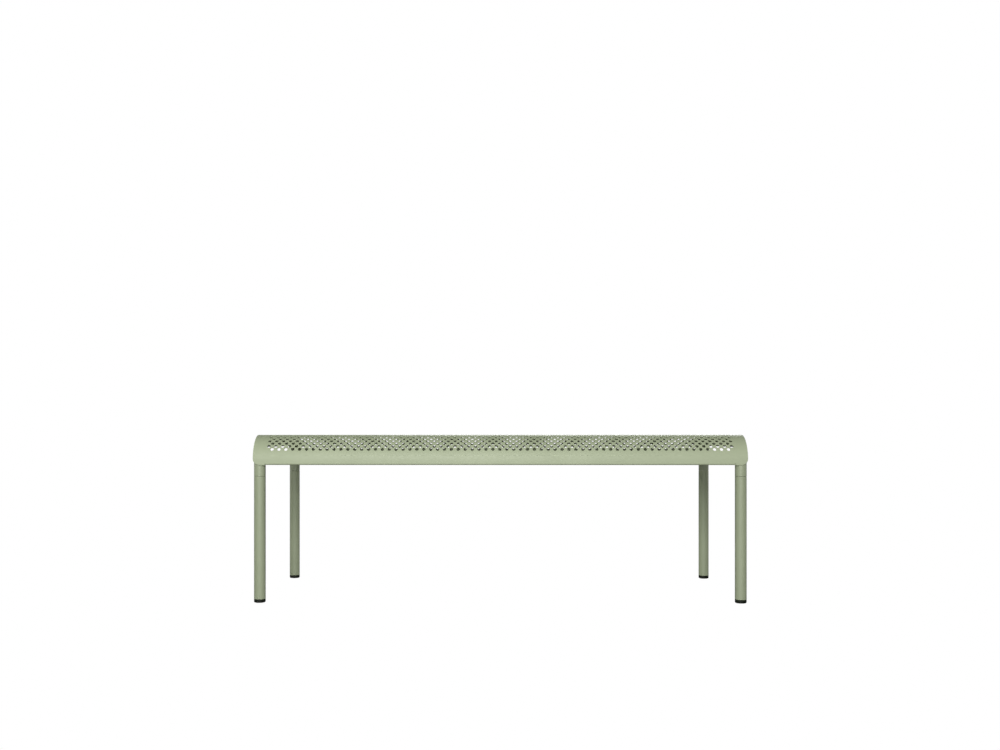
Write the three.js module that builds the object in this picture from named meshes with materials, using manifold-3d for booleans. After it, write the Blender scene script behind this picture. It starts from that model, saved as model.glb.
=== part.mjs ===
// Backless outdoor bench. A steel sheet seat, whose two long edges roll down into skirts with folded hems,
// is welded to a bent-tube frame at each end. Four tube legs screw onto the stubs of those frames and
// stand on plastic glides.
//
// Millimetres. +X runs along the bench, -Y faces the sitter's legs at the front, +Z is up, and the origin is
// on the ground under the middle of the seat.
import * as THREE from "three";
import { mergeVertices } from "three/addons/utils/BufferGeometryUtils.js";
import Module from "manifold-3d";

// Seat
const SEAT_LENGTH = 1286;
const SEAT_DEPTH = 499;
const SEAT_HEIGHT = 438;
const SHEET = 2; // thickness of the steel sheet
const EDGE_RADIUS = 68.4; // outside radius of the rolled long edges
const SKIRT_STRAIGHT = 10.1; // upright part of the skirt, below its roll
const CORNER_RADIUS = 16; // rounded lower corners of each skirt
const HEM_GAP = 4.5; // air between the skirt and its folded-back hem
const HEM_HEIGHT = 13;
const HEM_TO_LEG = 2.5; // the hem stops this far short of the leg

// Frames and legs
const TUBE_RADIUS = 15;
const TUBE_WALL = 2;
const FIT = 0.3; // air left between pieces that touch or press together
const SEAM_BELOW_SKIRT = 29.6; // where the leg meets the stub of its frame
const SEAM_GAP = 0.5;

// Hardware inside the legs
const INSERT_HEIGHT = 22;
const STUD_RADIUS = 5;
const STUD_LENGTH = 38;
const STUD_CHAMFER = 1;

// Glides
const GLIDE_HEIGHT = 9;
const GLIDE_EDGE = 3; // radius of the edge that meets the ground
const GLIDE_FLOOR = 4;
const SPIGOT_WALL = 3;
const SPIGOT_HEIGHT = 22;
const SPIGOT_CHAMFER = 1;

// Welds
const WELD_SIDE = 5; // short sides of a fillet's section
const WELD_BELOW_SKIRT = 2.5;
const TOP_WELD_LENGTH = 340;
const TOP_WELD_REACH = 1; // how far it runs in between the tube and the sheet
const CORNER_WELD_START = Math.PI / 6; // where it leaves the tube, round from the bench's length

// Facets
const BEND_STEPS = 8; // in each quarter turn
const TUBE_SIDES = 20;
const GLIDE_EDGE_STEPS = 3;
const CORNER_WELD_STEPS = 4;

const OVERCUT = 1; // how far a cutter runs past what it cuts

const halfLength = SEAT_LENGTH / 2;
const halfDepth = SEAT_DEPTH / 2;
const skirtBottom = SEAT_HEIGHT - EDGE_RADIUS - SKIRT_STRAIGHT;
const rollHeight = SEAT_HEIGHT - EDGE_RADIUS; // height of the rolls' centres
const rollY = halfDepth - EDGE_RADIUS; // distance of the rolls' centres from the middle
const boreRadius = TUBE_RADIUS - TUBE_WALL;
const legX = halfLength - TUBE_RADIUS;
const legY = halfDepth - SHEET - FIT - TUBE_RADIUS;
const tubeBendRadius = EDGE_RADIUS - SHEET - FIT - TUBE_RADIUS; // to the middle of the tube
const seamHeight = skirtBottom - SEAM_BELOW_SKIRT;
const stubBottom = seamHeight + SEAM_GAP / 2;
const legTop = seamHeight - SEAM_GAP / 2;
const hemEnd = legX - TUBE_RADIUS - HEM_TO_LEG;

const wasm = await Module();
wasm.setup();

const powderCoat = new THREE.MeshStandardMaterial({ color: 0xaab493, roughness: 0.55, metalness: 0 });
const platedSteel = new THREE.MeshStandardMaterial({ color: 0xb8bbbd, roughness: 0.35, metalness: 1 });
const blackPlastic = new THREE.MeshStandardMaterial({ color: 0x1a1b18, roughness: 0.6, metalness: 0 });

// Axes that an extruded shape's own x, y and z turn to.
const ALONG_X = new THREE.Matrix4().makeBasis(
  new THREE.Vector3(0, 1, 0),
  new THREE.Vector3(0, 0, 1),
  new THREE.Vector3(1, 0, 0),
);
const ALONG_Y = new THREE.Matrix4().makeBasis(
  new THREE.Vector3(1, 0, 0),
  new THREE.Vector3(0, 0, 1),
  new THREE.Vector3(0, -1, 0),
);

// A shape extruded by a length, centred on the middle of the bench, then turned to its axis.
function extruded(shape, length, axis) {
  const geometry = new THREE.ExtrudeGeometry(shape, {
    depth: length,
    bevelEnabled: false,
    curveSegments: BEND_STEPS / 2, // three.js gives an arc twice this many segments
  });
  return geometry.translate(0, 0, -length / 2).applyMatrix4(axis);
}

// A round piece from its half section, given as [radius, height] pairs that run up its outside.
function turned(section) {
  const points = section.map(([radius, height]) => new THREE.Vector2(radius, height));
  if (section[0][0] > 0) points.push(points[0].clone());
  return new THREE.LatheGeometry(points, TUBE_SIDES).rotateX(Math.PI / 2);
}

function solid(geometry) {
  const bare = geometry.index ? geometry.toNonIndexed() : geometry.clone();
  bare.deleteAttribute("normal");
  bare.deleteAttribute("uv");
  const merged = mergeVertices(bare, 1e-3);
  return new wasm.Manifold(
    new wasm.Mesh({
      numProp: 3,
      vertProperties: merged.attributes.position.array,
      triVerts: new Uint32Array(merged.index.array),
    }),
  );
}

function cut(geometry, cutters) {
  const mesh = cutters.reduce((body, cutter) => body.subtract(solid(cutter)), solid(geometry)).getMesh();
  const result = new THREE.BufferGeometry();
  result.setAttribute("position", new THREE.BufferAttribute(new Float32Array(mesh.vertProperties), 3));
  result.setIndex(new THREE.BufferAttribute(new Uint32Array(mesh.triVerts), 1));
  result.computeVertexNormals();
  return result;
}

// Section of the seat across its depth: the outside from the front hem to the rear one, then back inside.
function seatSection() {
  const outerHem = SHEET + HEM_GAP / 2;
  const innerHem = HEM_GAP / 2;
  const hemY = halfDepth - outerHem;
  const hemZ = skirtBottom + outerHem;
  const hemTop = skirtBottom + HEM_HEIGHT;
  const inside = halfDepth - SHEET;
  const innerRadius = EDGE_RADIUS - SHEET;
  const quarter = Math.PI / 2;
  const section = new THREE.Shape();
  section.moveTo(-halfDepth, hemZ);
  section.absarc(-rollY, rollHeight, EDGE_RADIUS, 2 * quarter, quarter, true);
  section.absarc(rollY, rollHeight, EDGE_RADIUS, quarter, 0, true);
  section.absarc(hemY, hemZ, outerHem, 0, -2 * quarter, true);
  section.lineTo(hemY - outerHem, hemTop);
  section.lineTo(hemY - innerHem, hemTop);
  section.absarc(hemY, hemZ, innerHem, -2 * quarter, 0, false);
  section.lineTo(inside, rollHeight);
  section.absarc(rollY, rollHeight, innerRadius, 0, quarter, false);
  section.absarc(-rollY, rollHeight, innerRadius, quarter, 2 * quarter, false);
  section.absarc(-hemY, hemZ, innerHem, 2 * quarter, 4 * quarter, false);
  section.lineTo(-hemY + innerHem, hemTop);
  section.lineTo(-hemY + outerHem, hemTop);
  section.absarc(-hemY, hemZ, outerHem, 0, -2 * quarter, true);
  return section;
}

// What the rounded corner at one end takes off both skirts.
function cornerCutter(side) {
  const centreX = halfLength - CORNER_RADIUS;
  const centreZ = skirtBottom + CORNER_RADIUS;
  const corner = new THREE.Shape();
  corner.moveTo(side * (halfLength + OVERCUT), centreZ);
  corner.lineTo(side * (halfLength + OVERCUT), skirtBottom - OVERCUT);
  corner.lineTo(side * centreX, skirtBottom - OVERCUT);
  const [start, end] = side > 0 ? [-Math.PI / 2, 0] : [-Math.PI / 2, -Math.PI];
  corner.absarc(side * centreX, centreZ, CORNER_RADIUS, start, end, side < 0);
  return extruded(corner, SEAT_DEPTH + 2 * OVERCUT, ALONG_Y);
}

// What is taken off the hems beside the legs, where the skirt is a single sheet.
function hemCutter(side) {
  const width = halfLength + OVERCUT - hemEnd;
  const height = HEM_HEIGHT + 2 * OVERCUT;
  const box = new THREE.BoxGeometry(width, SEAT_DEPTH - 2 * SHEET, height);
  return box.translate(side * (hemEnd + width / 2), 0, skirtBottom - OVERCUT + height / 2);
}

function seatPanel() {
  const sheet = extruded(seatSection(), SEAT_LENGTH, ALONG_X);
  return cut(sheet, [cornerCutter(-1), cornerCutter(1), hemCutter(-1), hemCutter(1)]);
}

// Middle line of an end frame's tube: up the front stub, round a bend, across, and down to the rear stub.
// Each station is a place on it, with how far the tube has turned over from upright.
function frameStations() {
  const front = [{ y: -legY, z: stubBottom, turn: 0 }];
  for (let i = 0; i <= BEND_STEPS; i += 1) {
    const turn = ((i / BEND_STEPS) * Math.PI) / 2;
    const y = -rollY - tubeBendRadius * Math.cos(turn);
    front.push({ y, z: rollHeight + tubeBendRadius * Math.sin(turn), turn });
  }
  const rear = front.map(({ y, z, turn }) => ({ y: -y, z, turn: Math.PI - turn })).reverse();
  return [...front, ...rear];
}

class FrameLine extends THREE.Curve {
  stations = frameStations();

  get steps() {
    return this.stations.length - 1;
  }

  station(t) {
    return this.stations[Math.round(t * this.steps)];
  }

  getUtoTmapping(u) {
    return u;
  }

  getPoint(t, target = new THREE.Vector3()) {
    const { y, z } = this.station(t);
    return target.set(0, y, z);
  }

  getTangent(t, target = new THREE.Vector3()) {
    const { turn } = this.station(t);
    return target.set(0, Math.sin(turn), Math.cos(turn));
  }
}

function circle(radius) {
  return Array.from({ length: TUBE_SIDES }, (_, i) => {
    const angle = (2 * Math.PI * i) / TUBE_SIDES;
    return new THREE.Vector2(radius * Math.cos(angle), radius * Math.sin(angle));
  });
}

function endFrame() {
  const ring = new THREE.Shape(circle(TUBE_RADIUS));
  ring.holes.push(new THREE.Path(circle(boreRadius)));
  const line = new FrameLine();
  return new THREE.ExtrudeGeometry(ring, { steps: line.steps, extrudePath: line });
}

function tube(outer, inner, bottom, top) {
  return turned([
    [inner, bottom],
    [outer, bottom],
    [outer, top],
    [inner, top],
  ]);
}

function stud(middle) {
  const low = middle - STUD_LENGTH / 2;
  const high = middle + STUD_LENGTH / 2;
  return turned([
    [0, low],
    [STUD_RADIUS - STUD_CHAMFER, low],
    [STUD_RADIUS, low + STUD_CHAMFER],
    [STUD_RADIUS, high - STUD_CHAMFER],
    [STUD_RADIUS - STUD_CHAMFER, high],
    [0, high],
  ]);
}

// A cup that covers the end of the leg, with a hollow spigot pressed up inside it.
function glide() {
  const spigot = boreRadius - FIT;
  const spigotTop = GLIDE_HEIGHT + SPIGOT_HEIGHT;
  const edge = Array.from({ length: GLIDE_EDGE_STEPS + 1 }, (_, i) => {
    const angle = (i / GLIDE_EDGE_STEPS) * (Math.PI / 2);
    const radius = TUBE_RADIUS - GLIDE_EDGE * (1 - Math.sin(angle));
    return [radius, GLIDE_EDGE * (1 - Math.cos(angle))];
  });
  return turned([
    [0, 0],
    ...edge,
    [TUBE_RADIUS, GLIDE_HEIGHT],
    [spigot, GLIDE_HEIGHT],
    [spigot, spigotTop - SPIGOT_CHAMFER],
    [spigot - SPIGOT_CHAMFER, spigotTop],
    [spigot - SPIGOT_WALL, spigotTop],
    [spigot - SPIGOT_WALL, GLIDE_FLOOR],
    [0, GLIDE_FLOOR],
  ]);
}

// Fillet weld along the inner side of the left frame's cross tube, where it lies against the sheet. Its
// section is a triangle between the sheet and the tube.
function topWeld() {
  const top = SEAT_HEIGHT - SHEET - FIT;
  const low = TUBE_RADIUS - WELD_SIDE;
  const tubeSide = Math.sqrt(TUBE_RADIUS ** 2 - low ** 2);
  const bead = new THREE.Shape();
  bead.moveTo(tubeSide - TOP_WELD_REACH, top);
  bead.lineTo(tubeSide + WELD_SIDE, top);
  bead.lineTo(tubeSide + 2 * FIT, top - WELD_SIDE);
  return extruded(bead, TOP_WELD_LENGTH, ALONG_Y);
}

// Weld that fills the corner between a stub, the skirt and the end of its hem, round the stub's middle.
function cornerWeld(side, facing) {
  const ring = TUBE_RADIUS + FIT;
  const last = Math.asin(TUBE_RADIUS / ring);
  const points = [
    [TUBE_RADIUS + HEM_TO_LEG - FIT, TUBE_RADIUS],
    [TUBE_RADIUS + HEM_TO_LEG - FIT, TUBE_RADIUS - WELD_SIDE],
  ];
  for (let i = 0; i <= CORNER_WELD_STEPS; i += 1) {
    const angle = THREE.MathUtils.lerp(CORNER_WELD_START, last, i / CORNER_WELD_STEPS);
    points.push([ring * Math.cos(angle), ring * Math.sin(angle)]);
  }
  const bead = new THREE.Shape(points.map(([x, y]) => new THREE.Vector2(-side * x, facing * y)));
  const depth = WELD_BELOW_SKIRT + HEM_HEIGHT;
  const geometry = new THREE.ExtrudeGeometry(bead, { depth, bevelEnabled: false });
  return geometry.translate(0, 0, skirtBottom - WELD_BELOW_SKIRT);
}

// Each node is one mesh, placed in the group.
const bench = new THREE.Group();

function add(name, geometry, material, [x, y, z] = [0, 0, 0]) {
  const mesh = new THREE.Mesh(geometry, material);
  mesh.name = name;
  mesh.position.set(x, y, z);
  bench.add(mesh);
  return mesh;
}

add("seat_panel", seatPanel(), powderCoat);

for (const [end, side] of [["left", -1], ["right", 1]]) {
  add(`end_frame_${end}`, endFrame(), powderCoat, [side * legX, 0, 0]);
  const weld = add(`top_weld_${end}`, topWeld(), powderCoat, [side * legX, 0, 0]);
  weld.rotation.z = side > 0 ? Math.PI : 0;

  for (const [row, facing] of [["front", -1], ["rear", 1]]) {
    const corner = `${row}_${end}`;
    const at = [side * legX, facing * legY, 0];
    const insert = (bottom) => tube(boreRadius - FIT, STUD_RADIUS + FIT, bottom, bottom + INSERT_HEIGHT);
    add(`corner_weld_${corner}`, cornerWeld(side, facing), powderCoat, at);
    add(`stub_insert_${corner}`, insert(stubBottom), platedSteel, at);
    add(`leg_stud_${corner}`, stud(seamHeight), platedSteel, at);
    add(`leg_insert_${corner}`, insert(legTop - INSERT_HEIGHT), platedSteel, at);
    add(`leg_${corner}`, tube(TUBE_RADIUS, boreRadius, GLIDE_HEIGHT + FIT, legTop), powderCoat, at);
    add(`glide_${corner}`, glide(), blackPlastic, at);
  }
}

export default bench;
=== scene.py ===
"""Backless outdoor bench of perforated sheet steel on bent-tube frames: its looks, round the CAD frame.

Metres. +X runs along the bench, -Y is the front, +Z is up, and the ground is z = 0.
"""

import math

import bmesh
import bpy
import numpy as np
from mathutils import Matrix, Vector


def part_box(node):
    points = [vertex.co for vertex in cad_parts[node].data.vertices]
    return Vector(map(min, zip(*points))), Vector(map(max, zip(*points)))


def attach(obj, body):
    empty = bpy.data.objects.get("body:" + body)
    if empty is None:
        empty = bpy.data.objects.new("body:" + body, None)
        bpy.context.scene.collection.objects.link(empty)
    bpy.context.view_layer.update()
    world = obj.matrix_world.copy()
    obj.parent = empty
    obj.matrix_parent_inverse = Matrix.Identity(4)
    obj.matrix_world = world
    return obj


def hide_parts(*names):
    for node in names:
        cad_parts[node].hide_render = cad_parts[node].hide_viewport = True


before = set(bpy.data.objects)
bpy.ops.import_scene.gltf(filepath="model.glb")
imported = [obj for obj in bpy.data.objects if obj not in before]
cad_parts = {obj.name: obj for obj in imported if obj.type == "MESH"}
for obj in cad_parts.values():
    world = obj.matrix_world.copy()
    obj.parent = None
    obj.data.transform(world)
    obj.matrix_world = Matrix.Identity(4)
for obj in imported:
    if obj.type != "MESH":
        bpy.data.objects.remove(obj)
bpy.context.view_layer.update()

# ---- sizes ---------------------------------------------------------------------------------------
MM = 0.001
SHEET = 2 * MM  # thickness of the steel sheet
EDGE_RADIUS = 68.4 * MM  # outside radius of the rolled long edges
CORNER_RADIUS = 16 * MM  # lower corners of the skirts
HEM_RADIUS = 4.25 * MM  # outside radius of the fold that turns the hem up behind the skirt
HEM_HEIGHT = 13 * MM
HEM_TO_LEG = 2.5 * MM  # how far the hem stops short of a leg
PITCH = 18 * MM  # between holes of a row; the rows are half of it apart
HOLE_RADIUS = 4.5 * MM
HOLES_IN_FRONT_ROW = 67  # and one more in every second row
ROWS = 58
RIM_POINTS = 16  # round each hole
BREAK = 0.3 * MM  # how far a cut or sawn edge is broken

TUBE_WALL = 2 * MM
FIT = 0.3 * MM  # air between pieces that touch

GLIDE_EDGE = 3 * MM  # radius of the edge that meets the ground
GLIDE_LIP = 0.5 * MM  # radius of the edge right under the leg
GLIDE_FLOOR = 4 * MM
SPIGOT_WALL = 3 * MM  # out to its ribs
SPIGOT_ROOT = 1 * MM  # plain length below the ribs
SPIGOT_TIP = 3 * MM  # and above them
SPIGOT_CHAMFER = 1 * MM
RIBS = 4
RIB_DEPTH = 1 * MM

THREAD_PITCH = 1.5 * MM
THREAD_DEPTH = 0.9 * MM
STUD_CHAMFER = 1 * MM
PLUG_CHAMFER = 1 * MM
BORE_CHAMFER = 0.8 * MM
PLUG_END = 2 * MM  # plain length beyond the grooves
GROOVES = 5
GROOVE_DEPTH = 0.5 * MM

WELD_SIDE = 5 * MM  # of the right angle that a fillet fills
WELD_BULGE = 0.8 * MM
RIPPLE_PITCH = 3 * MM
RIPPLE_HEIGHT = 0.35 * MM
WELD_TIP = 2.5 * MM  # length of a weld's rounded ends
CORNER_WELD_START = math.pi / 6  # where it leaves the tube, round from the bench's length

# Places from the frame
seat_low, seat_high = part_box("seat_panel")
leg_low, leg_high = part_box("leg_front_right")
stub_low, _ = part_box("end_frame_right")
SEAT_HEIGHT = seat_high.z
HALF_LENGTH = seat_high.x
HALF_DEPTH = seat_high.y
SKIRT_BOTTOM = seat_low.z
ROLL_Y = HALF_DEPTH - EDGE_RADIUS  # the rolls' centres
ROLL_Z = SEAT_HEIGHT - EDGE_RADIUS
TUBE_RADIUS = (leg_high.x - leg_low.x) / 2
LEG_X = (leg_high.x + leg_low.x) / 2
LEG_Y = -(leg_high.y + leg_low.y) / 2
STUB_BOTTOM = stub_low.z
ENDS = (("left", -1), ("right", 1))
CORNERS = [
    (f"{row}_{end}", side, facing)
    for end, side in ENDS
    for row, facing in (("front", -1), ("rear", 1))
]

# Colours, all linear
COAT_DARK = np.array([0.392, 0.447, 0.290])
COAT_LIGHT = np.array([0.418, 0.474, 0.311])
TUBE_PAINTED_SHADE = 0.85  # painted shade: the share of the sheet's coat colour that the tubes' coat keeps, so the tubes look less lit than the sheet
WHITE = (1, 1, 1, 1)
FLOOR_BOUNCE = (0.1, 0.1, 0.1, 1)  # what the bench gets back from the floor

# Studio
FLOOR_GAP = 0.2 * MM
FLOOR_HALF = 100
FILL = 0.15
AIM = (0, 0, 0.35)


# ---- materials -----------------------------------------------------------------------------------
class Shader:
    """A Principled material whose colour, roughness and bump come from noise in object space."""

    def __init__(self, name, **sockets):
        self.material = bpy.data.materials.new(name)
        self.material.use_nodes = True
        self.nodes = self.material.node_tree.nodes
        self.links = self.material.node_tree.links
        self.principled = self.nodes["Principled BSDF"]
        self.place = self.nodes.new("ShaderNodeTexCoord").outputs["Object"]
        for socket, value in sockets.items():
            self.principled.inputs[socket.replace("_", " ")].default_value = value

    def noise(self, size, detail=2.0, stretch=None):
        """Noise from 0 to 1 whose blobs are about size across."""
        node = self.nodes.new("ShaderNodeTexNoise")
        node.inputs["Scale"].default_value = 1 / size
        node.inputs["Detail"].default_value = detail
        place = self.place
        if stretch:
            mapping = self.nodes.new("ShaderNodeMapping")
            mapping.inputs["Scale"].default_value = stretch
            self.links.new(place, mapping.inputs["Vector"])
            place = mapping.outputs["Vector"]
        self.links.new(place, node.inputs["Vector"])
        return node.outputs["Fac"]

    def spread(self, value, low, high):
        """The middle of the noise's range, stretched to run from low to high."""
        node = self.nodes.new("ShaderNodeMapRange")
        ends = {"From Min": 0.3, "From Max": 0.7, "To Min": low, "To Max": high}
        for socket, number in ends.items():
            node.inputs[socket].default_value = number
        self.links.new(value, node.inputs["Value"])
        return node.outputs["Result"]

    def colours(self, value, stops):
        """Colours the surface by a ramp of (position, colour) stops."""
        node = self.nodes.new("ShaderNodeValToRGB")
        ramp = node.color_ramp.elements
        while len(ramp) < len(stops):
            ramp.new(0.5)
        for element, (position, colour) in zip(ramp, stops):
            element.position = position
            element.color = (*colour, 1)
        self.links.new(value, node.inputs["Fac"])
        self.links.new(node.outputs["Color"], self.principled.inputs["Base Color"])

    def bumps(self, *layers):
        """Each layer is (value, height in metres, strength)."""
        normal = None
        for value, height, strength in layers:
            node = self.nodes.new("ShaderNodeBump")
            node.inputs["Distance"].default_value = height
            node.inputs["Strength"].default_value = strength
            self.links.new(value, node.inputs["Height"])
            if normal:
                self.links.new(normal, node.inputs["Normal"])
            normal = node.outputs["Normal"]
        self.links.new(normal, self.principled.inputs["Normal"])

    def roughness(self, value):
        self.links.new(value, self.principled.inputs["Roughness"])


def powder_coat(name, painted_shade=1.0):
    """Sage-green powder coat: a satin skin with fine orange peel and a faint drift of colour. A factor
    below 1 darkens the colour as painted shade.
    """
    coat = Shader(name, Specular_IOR_Level=0.5)
    drift = coat.noise(90 * MM, 3)
    coat.colours(drift, [(0.3, painted_shade * COAT_DARK), (0.7, painted_shade * COAT_LIGHT)])
    coat.roughness(coat.spread(coat.noise(6 * MM, 3), 0.46, 0.56))
    coat.bumps((coat.noise(1.6 * MM, 2), 0.04 * MM, 0.5), (coat.noise(0.35 * MM, 1), 0.012 * MM, 0.4))
    return coat.material


def black_plastic():
    """Moulded black polyamide with a faint spark-eroded grain."""
    plastic = Shader("black_plastic", Specular_IOR_Level=0.25)
    mottle = plastic.noise(9 * MM, 3)
    plastic.colours(mottle, [(0.35, (0.005, 0.007, 0.003)), (0.65, (0.009, 0.012, 0.006))])
    plastic.roughness(plastic.spread(plastic.noise(2 * MM, 3), 0.5, 0.68))
    plastic.bumps((plastic.noise(0.5 * MM, 2), 0.03 * MM, 0.5))
    return plastic.material


def plated_steel():
    """Zinc-plated turned steel, with fine rings left by the lathe."""
    steel = Shader("zinc_plated_steel", Metallic=1.0)
    mottle = steel.noise(7 * MM, 4)
    steel.colours(mottle, [(0.3, (0.52, 0.53, 0.54)), (0.7, (0.66, 0.66, 0.65))])
    rings = steel.noise(0.25 * MM, 1, stretch=(0.02, 0.02, 1))
    steel.roughness(steel.spread(rings, 0.26, 0.42))
    steel.bumps((rings, 0.01 * MM, 0.4))
    return steel.material


MATERIALS = {
    "powder_coat": powder_coat("sage_powder_coat"),
    # Painted shade: the tubes take a darker copy of the same sage coat, so they look less lit than the
    # sheet.
    "tube_coat_painted_shade": powder_coat("sage_powder_coat_tubes_painted_shade", TUBE_PAINTED_SHADE),
    "black_plastic": black_plastic(),
    "plated_steel": plated_steel(),
}


# ---- mesh tools ----------------------------------------------------------------------------------
def show(mesh, slot, node, finish=None):
    """Makes a mesh a piece of the bench that stands for a CAD node."""
    mesh.materials.append(MATERIALS[finish or slot])
    piece = bpy.data.objects.new(mesh.name, mesh)
    bpy.context.scene.collection.objects.link(piece)
    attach(piece, "root")
    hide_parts(node)


def ring_mesh(name, rings, closed=False, sharp_degrees=30):
    """A surface through rings of points, as many in each. A ring may shrink to one point, and a closed
    surface goes back from its last ring to its first."""
    rings = np.asarray(rings)
    count, sides = rings.shape[:2]
    faces = []
    for i in range(count if closed else count - 1):
        for j in range(sides):
            here, after = i * sides, (i + 1) % count * sides
            beside = (j + 1) % sides
            faces.append((here + j, here + beside, after + beside, after + j))
    mesh = bpy.data.meshes.new(name)
    mesh.from_pydata(rings.reshape(-1, 3).tolist(), [], faces)
    work = bmesh.new()
    work.from_mesh(mesh)
    bmesh.ops.remove_doubles(work, verts=work.verts, dist=1e-7)
    bmesh.ops.recalc_face_normals(work, faces=work.faces)
    work.to_mesh(mesh)
    work.free()
    mesh.shade_smooth()
    mesh.set_sharp_from_angle(angle=math.radians(sharp_degrees))
    return mesh


def turned_rings(section, x, y, sides=64):
    """Rings of a round upright piece from the (radius, height) pairs of its section."""
    angle = np.linspace(0, 2 * math.pi, sides, endpoint=False)
    return [
        np.stack([x + r * np.cos(angle), y + r * np.sin(angle), np.full(sides, z)], axis=1)
        for r, z in section
    ]


def arc_points(radius, height, size, start, end, steps):
    """(radius, height) pairs round a corner of a turned section, from start to end in degrees."""
    turns = np.radians(np.linspace(start, end, steps + 1))
    return [(radius + size * math.cos(t), height + size * math.sin(t)) for t in turns]


# ---- the perforated seat -------------------------------------------------------------------------
# The sheet is laid out flat first: x along the bench, and s across it, on its outside face from the middle.
BEND_START = ROLL_Y
BEND_END = BEND_START + EDGE_RADIUS * math.pi / 2
HEM_START = BEND_END + (ROLL_Z - SKIRT_BOTTOM) - HEM_RADIUS
HEM_TURNED = HEM_START + HEM_RADIUS * math.pi
HEM_EDGE = HEM_TURNED + HEM_HEIGHT - HEM_RADIUS
FIELD_X = (HOLES_IN_FRONT_ROW + 1) * PITCH / 2  # the holed field with its margin of half a pitch
FIELD_S = (ROWS + 1) * PITCH / 4
HEM_X = LEG_X - TUBE_RADIUS - HEM_TO_LEG - BREAK


def folded(x, s, curled, depth):
    """Where points of the flat sheet come to lie once it is folded, depth below its outside face, and
    the way that face looks there. curled says whether a point past HEM_START is on the hem."""
    side, s = np.sign(s), np.abs(s)
    on_hem = curled & (s > HEM_START)
    bend = np.clip((s - BEND_START) / EDGE_RADIUS, 0, math.pi / 2)
    y = np.minimum(s, BEND_START) + EDGE_RADIUS * np.sin(bend)
    z = ROLL_Z + EDGE_RADIUS * np.cos(bend) - np.maximum(s - BEND_END, 0)
    curl = np.clip((s - HEM_START) / HEM_RADIUS, 0, math.pi)
    hem_y = HALF_DEPTH - HEM_RADIUS + HEM_RADIUS * np.cos(curl)
    hem_z = SKIRT_BOTTOM + HEM_RADIUS - HEM_RADIUS * np.sin(curl) + np.maximum(s - HEM_TURNED, 0)
    turn = np.where(on_hem, math.pi / 2 + curl, bend)
    y = np.where(on_hem, hem_y, y)
    z = np.where(on_hem, hem_z, z)
    looks = np.stack([np.zeros_like(x), side * np.sin(turn), np.cos(turn)], axis=-1)
    return np.stack([x, side * y, z], axis=-1) - np.expand_dims(depth, -1) * looks, looks


class FlatSheet:
    """Triangles and quads of the outside face, laid flat. Points are shared wherever faces meet."""

    def __init__(self):
        self.index, self.places, self.faces, self.rims = {}, [], [], []

    def at(self, x, s, curled=False):
        key = (round(x * 1e7), round(s * 1e7), curled)
        if key not in self.index:
            self.index[key] = len(self.places)
            self.places.append((x, s, curled))
        return self.index[key]

    def face(self, *corners):
        """A face that looks out, whichever way round its corners are given."""
        ring = [self.places[c][:2] for c in corners]
        area = sum(a[0] * b[1] - b[0] * a[1] for a, b in zip(ring, ring[1:] + ring[:1]))
        self.faces.append(corners if area > 0 else corners[::-1])

    def grid(self, columns, rows_of, curled=False):
        """Quads between columns of x, where rows_of(x) gives each column's s from one side to the other."""
        lines = [[self.at(x, s, curled and abs(s) > HEM_START) for s in rows_of(x)] for x in columns]
        for a, b in zip(lines, lines[1:]):
            for j in range(len(a) - 1):
                self.face(a[j], b[j], b[j + 1], a[j + 1])


def add_holed_cells(flat):
    """One diamond-shaped cell round each hole. Together they tile the field of staggered holes."""
    half, turns = PITCH / 2, np.arange(RIM_POINTS) * 2 * math.pi / RIM_POINTS
    quarter = RIM_POINTS // 4
    for row in range(ROWS):
        s = (row - (ROWS - 1) / 2) * half
        count = HOLES_IN_FRONT_ROW + row % 2
        for i in range(count):
            x = (i - (count - 1) / 2) * PITCH
            rim_places = [(x + HOLE_RADIUS * math.cos(t), s + HOLE_RADIUS * math.sin(t)) for t in turns]
            rim = [flat.at(*place) for place in rim_places]
            tip_places = [(x + half, s), (x, s + half), (x - half, s), (x, s - half)]
            tips = [flat.at(*place) for place in tip_places]
            for q in range(4):
                tip, following = tips[q], tips[(q + 1) % 4]
                arc = [rim[(q * quarter + j) % RIM_POINTS] for j in range(quarter + 1)]
                middle = quarter // 2
                flat.face(tip, following, arc[middle])
                for j in range(quarter):
                    flat.face(tip if j < middle else following, arc[j], arc[j + 1])
            flat.rims.append((rim, x, s))


def add_field_edges(flat):
    """Triangles that fill the zigzag between the outer cells and the field's straight edges."""
    half = PITCH / 2
    for side, count in ((-1, HOLES_IN_FRONT_ROW), (1, HOLES_IN_FRONT_ROW + (ROWS - 1) % 2)):
        edge, inner = side * FIELD_S, side * (FIELD_S - half)
        for i in range(count - 1):
            x = (i - (count - 1) / 2) * PITCH
            flat.face(flat.at(x, edge), flat.at(x + PITCH, edge), flat.at(x + half, inner))
    low, high = -FIELD_S, FIELD_S
    for side in (-1, 1):
        edge, hem, short_row = side * FIELD_X, side * HEM_X, side * (FIELD_X - half)
        for row in range(2, ROWS - 1, 2):
            s = (row - (ROWS - 1) / 2) * half
            for beside in (s - half, s + half):
                flat.face(flat.at(edge, s), flat.at(edge, beside), flat.at(short_row, s))
        tip = flat.at(short_row, low + half)
        corner = [(short_row - side * half, low), (hem, low)]
        corner += [(edge, low), (edge, low + half), (edge, low + 2 * half)]
        for a, b in zip(corner, corner[1:]):
            flat.face(flat.at(*a), flat.at(*b), tip)
        last_tip = flat.at(edge, high - half)
        flat.face(flat.at(edge, high), flat.at(hem, high), last_tip)
        flat.face(flat.at(hem, high), flat.at(short_row, high), last_tip)


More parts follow.
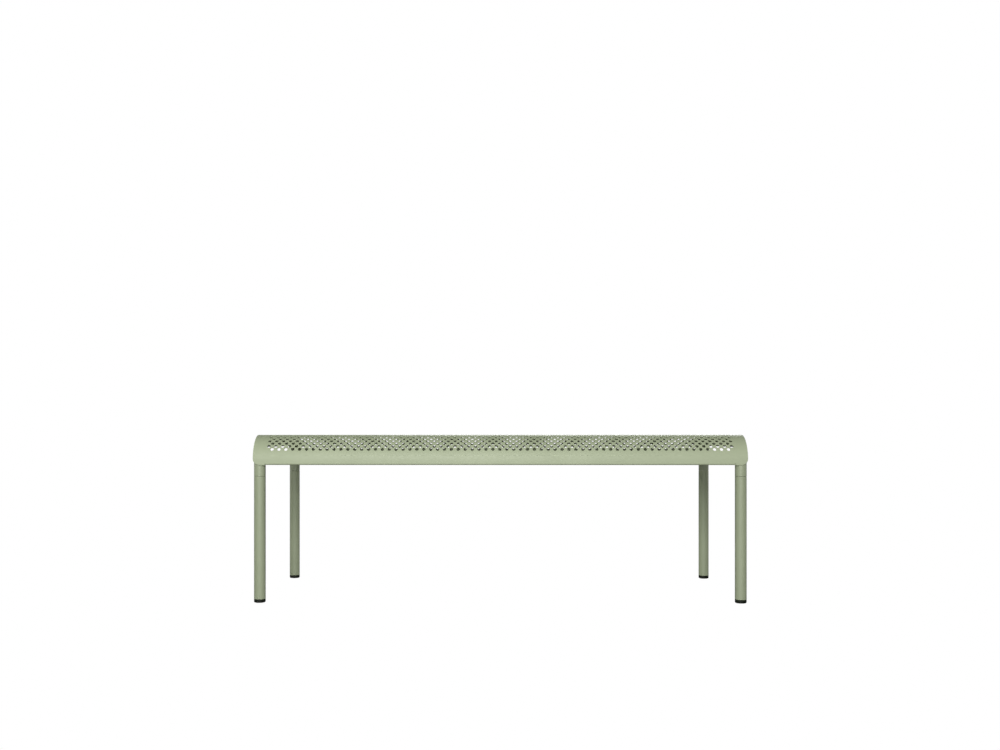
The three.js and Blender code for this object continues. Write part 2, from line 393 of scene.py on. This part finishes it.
def add_borders(flat):
    """The plain border round the field, the ends of the skirts with their round corners, and the hems."""
    steps = 6
    corner = [
        (HALF_LENGTH - BREAK - CORNER_RADIUS * (1 - math.sin(t)), CORNER_RADIUS * (1 - math.cos(t)))
        for t in np.radians(np.linspace(0, 90, steps + 1))
    ]
    end_columns = [FIELD_X] + [x for x, _ in corner]
    raised = {round(x / MM, 4): up for x, up in corner}  # how far the edge is above the skirt's there
    skirt_edge = HEM_START + HEM_RADIUS - BREAK

    def skirt_rows(side, x):
        last = HEM_START - raised.get(round(abs(x) / MM, 4), 0)
        return [side * s for s in np.linspace(FIELD_S, last, steps + 1)]

    def tab_rows(side, x):
        up = raised.get(round(abs(x) / MM, 4), 0)
        return [side * (HEM_START - up), side * (skirt_edge - up)]

    field_s = [-FIELD_S + k * PITCH / 2 for k in range(ROWS + 2)]
    hem_s = [HEM_START + HEM_RADIUS * t for t in np.linspace(0, math.pi, 9)]
    hem_s += [(HEM_TURNED + HEM_EDGE) / 2, HEM_EDGE - BREAK]
    for end in (-1, 1):
        flat.grid([end * x for x in end_columns], lambda x: field_s)
    for side in (-1, 1):
        count = HOLES_IN_FRONT_ROW + (0 if side < 0 else (ROWS - 1) % 2)
        holes = [(i - (count - 1) / 2) * PITCH for i in range(count)]
        hem_columns = [-HEM_X] + holes + [HEM_X]
        columns = [-x for x in reversed(end_columns)] + hem_columns + end_columns
        flat.grid(columns, lambda x: skirt_rows(side, x))
        flat.grid(hem_columns, lambda x: [side * s for s in hem_s], curled=True)
        for end in (-1, 1):
            flat.grid([end * x for x in end_columns], lambda x: tab_rows(side, x))


def outline_of(flat):
    """Boundary edges of the flat sheet, the way its faces go round them."""
    edges = {edge for f in flat.faces for edge in zip(f, f[1:] + f[:1])}
    return [(a, b) for a, b in sorted(edges) if (b, a) not in edges]


def blocks_mesh(name, vertices, blocks):
    """A mesh from blocks of faces. Each block has its faces, and at each face corner a normal and a
    place in the bake map."""
    faces = [tuple(face) for block, _, _ in blocks for face in block]
    ways = np.concatenate([ways for _, ways, _ in blocks])
    ways /= np.linalg.norm(ways, axis=1, keepdims=True)
    mesh = bpy.data.meshes.new(name)
    mesh.from_pydata(vertices.tolist(), [], faces)
    layout = mesh.uv_layers.new(name="OFBake")
    layout.data.foreach_set("uv", np.concatenate([places for _, _, places in blocks]).ravel())
    mesh.shade_smooth()
    mesh.normals_split_custom_set(ways.tolist())
    return mesh


def edge_push(outline, places):
    """Which way, and how far, each point of the outline moves when the outline grows by one unit."""
    push = np.zeros((len(places), 2))
    for a, b in outline:
        along = places[b] - places[a]
        outward = np.array([along[1], -along[0]]) / np.linalg.norm(along)
        push[a] += outward
        push[b] += outward
    moved = push.any(axis=1)
    push[moved] *= 2 / (push[moved] ** 2).sum(axis=1, keepdims=True)
    return push


def seat_mesh():
    """The sheet with its thickness, the walls of its holes and its broken outer edges."""
    flat = FlatSheet()
    add_holed_cells(flat)
    add_field_edges(flat)
    add_borders(flat)
    count = len(flat.places)
    curled = np.array([on_hem for _, _, on_hem in flat.places])
    places = np.array([(x, s) for x, s, _ in flat.places])
    outside, looks = folded(*places.T, curled, np.zeros(count))
    inside, _ = folded(*places.T, curled, np.full(count, SHEET))
    along = np.array([1.0, 0, 0])
    across = np.cross(looks, along)

    def in_space(ways):
        return ways[:, :1] * along + ways[:, 1:] * across

    inner_half = np.array([0, HALF_LENGTH + 2 * SHEET])  # of the bake map, where the inside face lies

    def on_map(spots):
        return spots / (2 * HALF_LENGTH + 4 * SHEET) + (0.5, 0.25)

    corners = [c for face in flat.faces for c in face]
    inside_faces = [face[::-1] for face in flat.faces]
    inside_corners = [c for face in inside_faces for c in face]
    inside_faces = [[c + count for c in face] for face in inside_faces]
    blocks = [
        (flat.faces, looks[corners], on_map(places[corners])),
        (inside_faces, -looks[inside_corners], on_map(places[inside_corners] + inner_half)),
    ]

    # Each hole's wall looks at the hole's middle.
    to_hub = np.zeros((count, 2))
    for rim, hole_x, hole_s in flat.rims:
        to_hub[rim] = (np.array([hole_x, hole_s]) - places[rim]) / HOLE_RADIUS
    in_rim = to_hub.any(axis=1)
    boundary = np.array(outline_of(flat))
    a, b = boundary[in_rim[boundary[:, 0]]].T
    walls = np.stack([b, a, a + count, b + count], axis=1)
    way = in_space(to_hub)
    sunk = places + 0.4 * HOLE_RADIUS * to_hub
    spots = np.stack([places[b], places[a], sunk[a], sunk[b]], axis=1).reshape(-1, 2)
    blocks.append((walls.tolist(), way[np.stack([b, a, a, b], axis=1).ravel()], on_map(spots)))

    # The outer edge's wall stands proud of both faces' edges, with a bevel at each. A step is the first of
    # its vertices, the way they look, and how far out they are on the bake map, in sheet thicknesses.
    outline = boundary[~in_rim[boundary[:, 0]]]
    push = edge_push(outline, places)
    proud = places + BREAK * push
    upper, _ = folded(*proud.T, curled, np.full(count, BREAK))
    lower, _ = folded(*proud.T, curled, np.full(count, SHEET - BREAK))
    a, b = outline.T
    way = in_space(push)
    steps = [(0, looks, 0), (2 * count, way, 0.3), (3 * count, way, 0.5), (count, -looks, 0.7)]
    for (above, above_way, above_out), (below, below_way, below_out) in zip(steps, steps[1:]):
        walls = np.stack([b + above, a + above, a + below, b + below], axis=1)
        ways = np.stack([above_way[b], above_way[a], below_way[a], below_way[b]], axis=1).reshape(-1, 3)
        high, low = places + above_out * SHEET * push, places + below_out * SHEET * push
        spots = np.stack([high[b], high[a], low[a], low[b]], axis=1).reshape(-1, 2)
        blocks.append((walls.tolist(), ways, on_map(spots)))

    used = np.zeros(4 * count, bool)
    used[[c for faces, _, _ in blocks for face in faces for c in face]] = True
    renumbered = np.cumsum(used) - 1
    vertices = np.concatenate([outside, inside, upper, lower])[used]
    blocks = [([renumbered[list(f)].tolist() for f in faces], ways, spots) for faces, ways, spots in blocks]
    return blocks_mesh("seat_sheet_perforated", vertices, blocks)


show(seat_mesh(), "powder_coat", "seat_panel")


# ---- end frames ----------------------------------------------------------------------------------
STUB_LENGTH = ROLL_Z - STUB_BOTTOM
TUBE_BEND = LEG_Y - ROLL_Y  # radius of the tube's middle line
BEND_LENGTH = TUBE_BEND * math.pi / 2
BEND_STEPS = 18
FRAME_LENGTH = 2 * (STUB_LENGTH + BEND_LENGTH + ROLL_Y)


def frame_ring(x, distance, radius, sides=48):
    """A ring round the tube's middle line, which goes up the front stub, across, and down the rear one."""
    front = distance <= FRAME_LENGTH / 2
    along = distance if front else FRAME_LENGTH - distance
    turn = min(max((along - STUB_LENGTH) / TUBE_BEND, 0), math.pi / 2)
    across = max(along - STUB_LENGTH - BEND_LENGTH, 0)
    y = -ROLL_Y - TUBE_BEND * math.cos(turn) + across
    z = STUB_BOTTOM + min(along, STUB_LENGTH) + TUBE_BEND * math.sin(turn)
    angle = np.linspace(0, 2 * math.pi, sides, endpoint=False)
    outward = radius * np.sin(angle)
    ring_y = y - outward * math.cos(turn)
    ring_z = z + outward * math.sin(turn)
    ring = np.stack([x + radius * np.cos(angle), ring_y, ring_z], axis=1)
    if not front:
        ring[:, 1] *= -1
    return ring


def end_frame_mesh(name, x):
    bend = [STUB_LENGTH + BEND_LENGTH * t for t in np.linspace(0, 1, BEND_STEPS + 1)]
    half = [0.0, BREAK, *bend]
    marks = half + [FRAME_LENGTH - d for d in reversed(half)]
    outside = [(d, TUBE_RADIUS - (BREAK if d in (marks[0], marks[-1]) else 0)) for d in marks]
    inside = [(d, TUBE_RADIUS - TUBE_WALL) for d in reversed(marks)]
    return ring_mesh(name, [frame_ring(x, d, r) for d, r in outside + inside], closed=True)


for end, side in ENDS:
    tube = end_frame_mesh(f"frame_tube_{end}", side * LEG_X)
    # painted shade: the frame tube gets the darkened copy of the sage coat
    show(tube, "powder_coat", f"end_frame_{end}", finish="tube_coat_painted_shade")


# ---- legs and glides -----------------------------------------------------------------------------
def leg_mesh(name, x, y):
    bore = TUBE_RADIUS - TUBE_WALL
    low, high = leg_low.z, leg_high.z
    section = [(bore, low), (TUBE_RADIUS - BREAK, low), (TUBE_RADIUS, low + BREAK)]
    section += [(TUBE_RADIUS, high - BREAK), (TUBE_RADIUS - BREAK, high), (bore, high)]
    return ring_mesh(name, turned_rings(section, x, y), closed=True)


def glide_mesh(name, node, x, y):
    """A cup under the leg, with a rounded foot, and ribs that grip on its spigot."""
    height = leg_low.z - FIT
    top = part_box(node)[1].z
    ribs_out = TUBE_RADIUS - TUBE_WALL - FIT
    spigot = ribs_out - RIB_DEPTH
    inside = ribs_out - SPIGOT_WALL
    section = [(0, 0), (0.4 * TUBE_RADIUS, 0)]
    section += arc_points(TUBE_RADIUS - GLIDE_EDGE, GLIDE_EDGE, GLIDE_EDGE, -90, 0, 6)
    section += arc_points(TUBE_RADIUS - GLIDE_LIP, height - GLIDE_LIP, GLIDE_LIP, 0, 90, 3)
    rise = (top - height - SPIGOT_ROOT - SPIGOT_TIP) / RIBS
    for i in range(RIBS):
        z = height + SPIGOT_ROOT + i * rise
        section += [(spigot, z), (spigot, z + 0.3 * rise), (ribs_out, z + 0.45 * rise)]
        section += [(spigot, z + 0.95 * rise)]
    section += [(spigot, top - SPIGOT_CHAMFER), (spigot - SPIGOT_CHAMFER, top), (inside, top)]
    section += [(inside, GLIDE_FLOOR), (0, GLIDE_FLOOR)]
    return ring_mesh(name, turned_rings(section, x, y), sharp_degrees=40)


for corner, side, facing in CORNERS:
    at = (side * LEG_X, facing * LEG_Y)
    # painted shade: the leg gets the darkened copy of the sage coat
    show(leg_mesh(f"leg_tube_{corner}", *at), "powder_coat", f"leg_{corner}", finish="tube_coat_painted_shade")
    show(glide_mesh(f"foot_glide_{corner}", f"glide_{corner}", *at), "black_plastic", f"glide_{corner}")


# ---- hardware inside the legs --------------------------------------------------------------------
def threaded_rings(low, high, radius, x, y, sides=32, slices=6):
    """Rings of an upright screw thread, cut into a bar with chamfered ends."""
    angle = np.linspace(0, 2 * math.pi, sides, endpoint=False)
    marks = np.linspace(low, high, round((high - low) / THREAD_PITCH * slices) + 1)
    rings = []
    for z in marks:
        phase = ((z - low) / THREAD_PITCH - angle / (2 * math.pi)) % 1
        cut = THREAD_DEPTH * np.abs(2 * phase - 1)
        chamfer = max(0, STUD_CHAMFER - min(z - low, high - z))
        around = np.minimum(radius - cut, radius - chamfer)
        ring = [x + around * np.cos(angle), y + around * np.sin(angle), np.full(sides, z)]
        rings.append(np.stack(ring, axis=1))
    ends = [np.repeat([[x, y, z]], sides, axis=0) for z in (low, high)]
    return [ends[0], *rings, ends[1]]


def insert_mesh(name, node, bore, x, y):
    """A press-fit plug with a bore for the stud, and grooves round it that bite into the tube."""
    low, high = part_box(node)
    radius = (high.x - low.x) / 2
    groove = radius - GROOVE_DEPTH
    section = [(bore, low.z + BORE_CHAMFER), (bore + BORE_CHAMFER, low.z)]
    section += [(radius - PLUG_CHAMFER, low.z), (radius, low.z + PLUG_CHAMFER), (radius, low.z + PLUG_END)]
    rise = (high.z - low.z - 2 * PLUG_END) / GROOVES
    for i in range(GROOVES):
        z = low.z + PLUG_END + i * rise
        section += [(groove, z + 0.3 * rise), (groove, z + 0.5 * rise), (radius, z + rise)]
    section += [(radius, high.z - PLUG_CHAMFER), (radius - PLUG_CHAMFER, high.z)]
    section += [(bore + BORE_CHAMFER, high.z), (bore, high.z - BORE_CHAMFER)]
    return ring_mesh(name, turned_rings(section, x, y), closed=True)


for corner, side, facing in CORNERS:
    at = (side * LEG_X, facing * LEG_Y)
    stud = f"leg_stud_{corner}"
    stud_low, stud_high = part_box(stud)
    stud_radius = (stud_high.x - stud_low.x) / 2
    rings = threaded_rings(stud_low.z, stud_high.z, stud_radius, *at)
    show(ring_mesh(f"threaded_stud_{corner}", rings), "plated_steel", stud)
    for part in ("stub", "leg"):
        node = f"{part}_insert_{corner}"
        plug = insert_mesh(f"{part}_plug_{corner}", node, stud_radius + FIT, *at)
        show(plug, "plated_steel", node)


# ---- welds ---------------------------------------------------------------------------------------
def bead_rings(root, length, place):
    """Rings of a weld bead. root is its section from one end of the open face to the other, round the
    back; place puts a section's points into space at a distance along the bead."""
    root = np.array(root)
    first, last = root[-1], root[0]
    span = last - first
    outward = np.array([span[1], -span[0]]) / np.linalg.norm(span)
    if np.dot(root.mean(axis=0) - first, outward) > 0:
        outward = -outward
    hold = root.mean(axis=0) * 0.5 + (first + last) / 2 * 0.5  # the ends shrink towards it
    across = np.linspace(0, 1, 9)[1:-1]
    slices = max(round(length / (RIPPLE_PITCH / 6)), 12)
    rings = []
    for distance in np.linspace(0, length, slices + 1):
        height = WELD_BULGE + RIPPLE_HEIGHT * abs(math.sin(math.pi * distance / RIPPLE_PITCH))
        face = [first + t * span + height * 4 * t * (1 - t) * outward for t in across]
        section = np.concatenate([root, face])
        near = min(distance, length - distance, WELD_TIP) / WELD_TIP
        shrink = 0.45 + 0.55 * math.sqrt(1 - (1 - near) ** 2)
        rings.append(place(hold + shrink * (section - hold), distance))
    caps = [np.repeat([ring.mean(axis=0)], len(ring), axis=0) for ring in (rings[0], rings[-1])]
    return [caps[0], *rings, caps[1]]


def corner_bead(name, node, side, facing):
    """The weld between a stub, the skirt and the end of its hem, seen in plan round the stub's middle."""
    low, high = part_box(node)
    near_hem = TUBE_RADIUS + HEM_TO_LEG - FIT
    ring = TUBE_RADIUS + FIT
    root = [(near_hem, TUBE_RADIUS - WELD_SIDE), (near_hem, TUBE_RADIUS)]
    turns = np.linspace(math.asin(TUBE_RADIUS / ring), CORNER_WELD_START, 8)
    root += [(ring * math.cos(t), ring * math.sin(t)) for t in turns]

    def place(section, distance):
        x = side * LEG_X - side * section[:, 0]
        y = facing * LEG_Y + facing * section[:, 1]
        return np.stack([x, y, np.full(len(x), low.z + distance)], axis=1)

    return ring_mesh(name, bead_rings(root, high.z - low.z, place), sharp_degrees=60)


def top_bead(name, node, side):
    """The fillet between a frame's cross tube and the underside of the sheet."""
    low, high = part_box(node)
    tube_x = side * LEG_X
    reach = abs((low.x if side > 0 else high.x) - tube_x)
    side_x = math.sqrt(TUBE_RADIUS**2 - (TUBE_RADIUS - WELD_SIDE) ** 2)
    root = [(reach, 0.0), (side_x - 1 * MM, 0.0), (side_x + 2 * FIT, -WELD_SIDE)]

    def place(section, distance):
        x = tube_x - side * section[:, 0]
        return np.stack([x, np.full(len(x), low.y + distance), high.z + section[:, 1]], axis=1)

    return ring_mesh(name, bead_rings(root, high.y - low.y, place), sharp_degrees=60)


for end, side in ENDS:
    node = f"top_weld_{end}"
    show(top_bead(f"cross_tube_bead_{end}", node, side), "powder_coat", node)
for corner, side, facing in CORNERS:
    node = f"corner_weld_{corner}"
    show(corner_bead(f"corner_bead_{corner}", node, side, facing), "powder_coat", node)


# ---- floor, light and camera ---------------------------------------------------------------------
def mixed(tree, share, first, second):
    """A mix of two shaders. share is the output that says how much of it is the second."""
    mix = tree.nodes.new("ShaderNodeMixShader")
    for socket, output in zip(mix.inputs, (share, first, second)):
        tree.links.new(output, socket)
    return mix.outputs[0]


def white(tree, kind):
    node = tree.nodes.new(kind)
    node.inputs["Color"].default_value = WHITE
    return node.outputs[0]


def finish_surface(tree, output, seen, lit):
    """Shows the seen shader to the camera, and the lit one to the light that falls on the bench."""
    path = tree.nodes.new("ShaderNodeLightPath")
    tree.links.new(mixed(tree, path.outputs["Is Camera Ray"], lit, seen), output.inputs["Surface"])


def add_floor():
    """A floor that is plain white from above, and clear from below."""
    mesh = bpy.data.meshes.new("floor")
    ring = [(-1, -1), (1, -1), (1, 1), (-1, 1)]
    mesh.from_pydata([(x * FLOOR_HALF, y * FLOOR_HALF, -FLOOR_GAP) for x, y in ring], [], [(0, 1, 2, 3)])
    floor = bpy.data.objects.new("floor", mesh)
    bpy.context.scene.collection.objects.link(floor)
    material = bpy.data.materials.new("floor")
    material.use_nodes = True
    tree = material.node_tree
    bounce = tree.nodes["Principled BSDF"]
    bounce.inputs["Base Color"].default_value = FLOOR_BOUNCE
    clear = tree.nodes.new("ShaderNodeBsdfTransparent").outputs[0]
    below = tree.nodes.new("ShaderNodeNewGeometry").outputs["Backfacing"]
    seen = mixed(tree, below, white(tree, "ShaderNodeEmission"), clear)
    finish_surface(tree, tree.nodes["Material Output"], seen, bounce.outputs[0])
    mesh.materials.append(material)


def add_world():
    world = bpy.data.worlds.new("studio")
    world.use_nodes = True
    tree = world.node_tree
    fill = tree.nodes["Background"]
    fill.inputs["Color"].default_value = WHITE
    fill.inputs["Strength"].default_value = FILL
    backdrop = white(tree, "ShaderNodeBackground")
    finish_surface(tree, tree.nodes["World Output"], backdrop, fill.outputs[0])
    bpy.context.scene.world = world


def add_softbox(name, place, aim, size, power):
    data = bpy.data.lights.new(name, "AREA")
    data.shape = "RECTANGLE"
    data.size, data.size_y = size
    data.energy = power
    box = bpy.data.objects.new(name, data)
    box.location = place
    box.rotation_euler = (Vector(aim) - Vector(place)).to_track_quat("-Z", "Y").to_euler()
    bpy.context.scene.collection.objects.link(box)


def add_camera():
    """A camera in front of the bench, level, and turned a little to the left."""
    data = bpy.data.cameras.new("camera")
    data.sensor_width = 36
    data.lens = 36.32
    data.shift_x = 0.0163
    data.shift_y = 0.0632
    camera = bpy.data.objects.new("camera", data)
    camera.location = (-0.0175, -2.868, 0.4292)
    camera.rotation_euler = (math.radians(90), 0, math.radians(0.533))
    bpy.context.scene.collection.objects.link(camera)
    bpy.context.scene.camera = camera


add_floor()
add_world()
add_softbox("key_softbox", (-0.35, -3.3, 1.4), AIM, (1.8, 1.2), 80)
add_softbox("low_softbox", (0, -3.4, 0.2), (0, 0, 0.2), (3.0, 0.3), 17)
add_softbox("back_softbox", (0.5, 3.4, 1.8), AIM, (2.4, 1.4), 60)
for end, side in ENDS:
    add_softbox(f"{end}_softbox", (side * 3.2, 0.9, 1.1), AIM, (1.4, 1.2), 20)
add_camera()
bpy.context.scene.view_settings.view_transform = "Standard"
